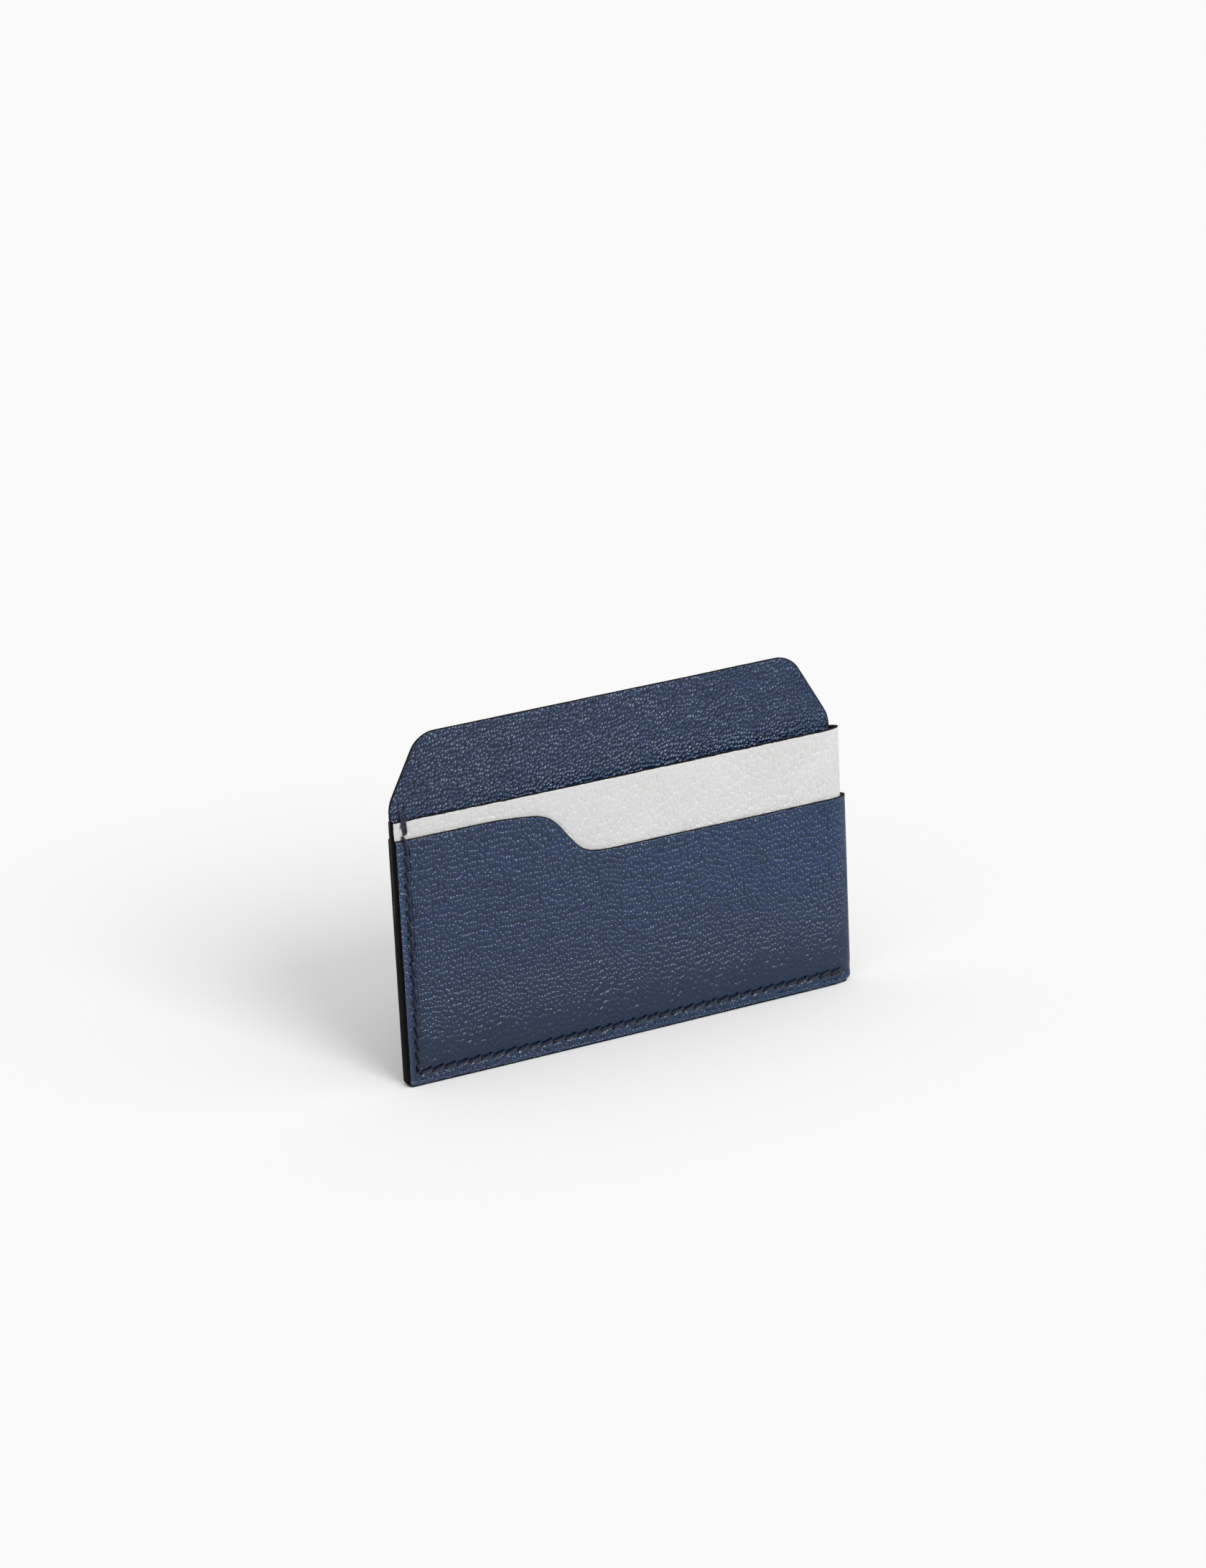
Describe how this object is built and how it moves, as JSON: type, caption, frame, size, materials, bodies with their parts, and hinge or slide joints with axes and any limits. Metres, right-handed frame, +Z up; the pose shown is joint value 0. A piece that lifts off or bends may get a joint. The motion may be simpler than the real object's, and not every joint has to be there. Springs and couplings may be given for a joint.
{
  "type": "card holder",
  "caption": "Slim leather card holder: a tall centre panel between two folded wraps, one lip cut in an S-curve, saddle-stitched along one side and the bottom.",
  "frame": {"origin": "bottom centre of the bounding box, on the long bottom edge that the holder stands on", "axes": "+Z up; +X along the width, stitched edge at -X and folded edge at +X; the front, with the S-curved lip seen first, faces -Y"},
  "size_m": [0.1, 0.0042, 0.0705],
  "materials": {
    "blue_leather": "navy goat leather, small pebble grain, satin",
    "grey_leather": "off-white goat leather, fine grain, satin",
    "thread": "waxed dark thread",
    "edge_paint": "glossy black edge paint"
  },
  "bodies": {
    "root": {"centre_panel": "blue_leather", "inner_wrap": "grey_leather", "outer_wrap": "blue_leather", "stitching_thread": "thread", "edge_paint": "edge_paint"}
  },
  "joints": []
}
